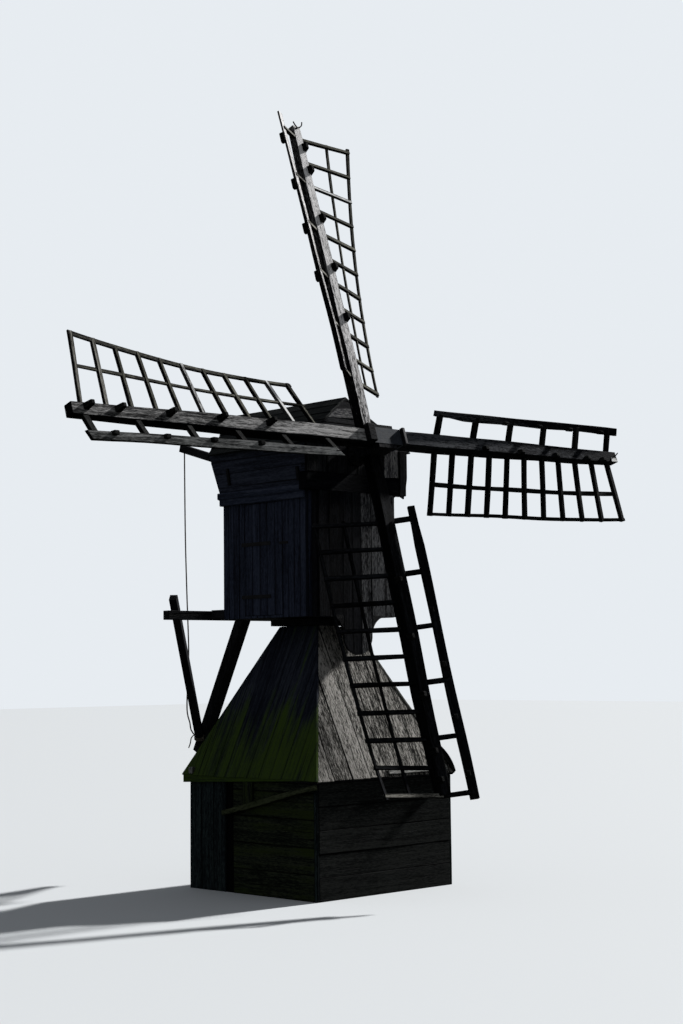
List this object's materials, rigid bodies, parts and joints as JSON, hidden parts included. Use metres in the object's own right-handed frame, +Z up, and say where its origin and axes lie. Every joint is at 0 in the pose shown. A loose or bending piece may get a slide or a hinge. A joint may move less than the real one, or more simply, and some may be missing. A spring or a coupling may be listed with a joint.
{
  "type": "traditional windmill",
  "caption": "Small wooden meadow windmill with a boarded base, a house that turns on its post and lattice sails that turn in the wind",
  "frame": {"origin": "Centre of the flat underside of the base, on the axis of the post that the house turns on; the ground is at z 0.", "axes": "+Z up, -Y the way the front of the house faces at rest, +X to the right of a viewer who faces the sails."},
  "size_m": [7.0846, 3.7995, 7.6313],
  "materials": {
    "tarred_boards": "satin",
    "weathered_boards": "matte",
    "frame_timber": "matte",
    "sail_timber": "matte",
    "wrought_iron": "matte",
    "hemp_rope": "matte"
  },
  "bodies": {
    "base": {"base_left_wall": "tarred_boards", "base_front_wall": "tarred_boards", "base_right_wall": "tarred_boards", "base_rear_wall": "tarred_boards", "base_corner_posts": "frame_timber", "cross_sills": "frame_timber", "hollow_post": "frame_timber", "eave_boards": "tarred_boards", "skirt_left": "weathered_boards", "skirt_front": "weathered_boards", "skirt_right": "weathered_boards", "skirt_rear": "weathered_boards", "neck_collar": "frame_timber", "wall_brace": "frame_timber"},
    "house": {"floor_sills": "frame_timber", "house_floor": "frame_timber", "house_corner_posts": "frame_timber", "house_left_wall": "tarred_boards", "house_right_wall": "tarred_boards", "house_front_wall": "tarred_boards", "house_rear_wall": "tarred_boards", "side_hatch": "tarred_boards", "hatch_ironwork": "wrought_iron", "belt_moulding": "tarred_boards", "left_upper_boards": "tarred_boards", "right_upper_boards": "tarred_boards", "rear_upper_boards": "tarred_boards", "weather_beam": "frame_timber", "breast_boards": "weathered_boards", "front_gable": "weathered_boards", "rear_gable": "tarred_boards", "front_casing": "tarred_boards", "left_roof": "tarred_boards", "right_roof": "tarred_boards", "tail_cross_beam": "frame_timber", "tail_pole": "frame_timber", "tail_braces": "frame_timber", "brake_lever": "frame_timber", "brake_rope": "hemp_rope", "neck_bearing": "frame_timber", "tail_bearing": "frame_timber"},
    "sails": {"windshaft": "frame_timber", "head_block": "frame_timber", "outer_stock": "sail_timber", "inner_stock": "sail_timber", "hub_cover": "wrought_iron", "stock_cleats": "sail_timber", "left_lattice": "sail_timber", "right_lattice": "sail_timber", "top_lattice": "sail_timber", "bottom_lattice": "sail_timber"}
  },
  "joints": [
    {"name": "house_turn", "type": "hinge", "parent": "base", "child": "house", "pos_m": [0, 0, 2.573], "axis": [0, 0, 1], "continuous": true},
    {"name": "sail_turn", "type": "hinge", "parent": "house", "child": "sails", "pos_m": [0, -0.811, 4.207], "axis": [0, -0.9553, 0.2957], "continuous": true}
  ]
}
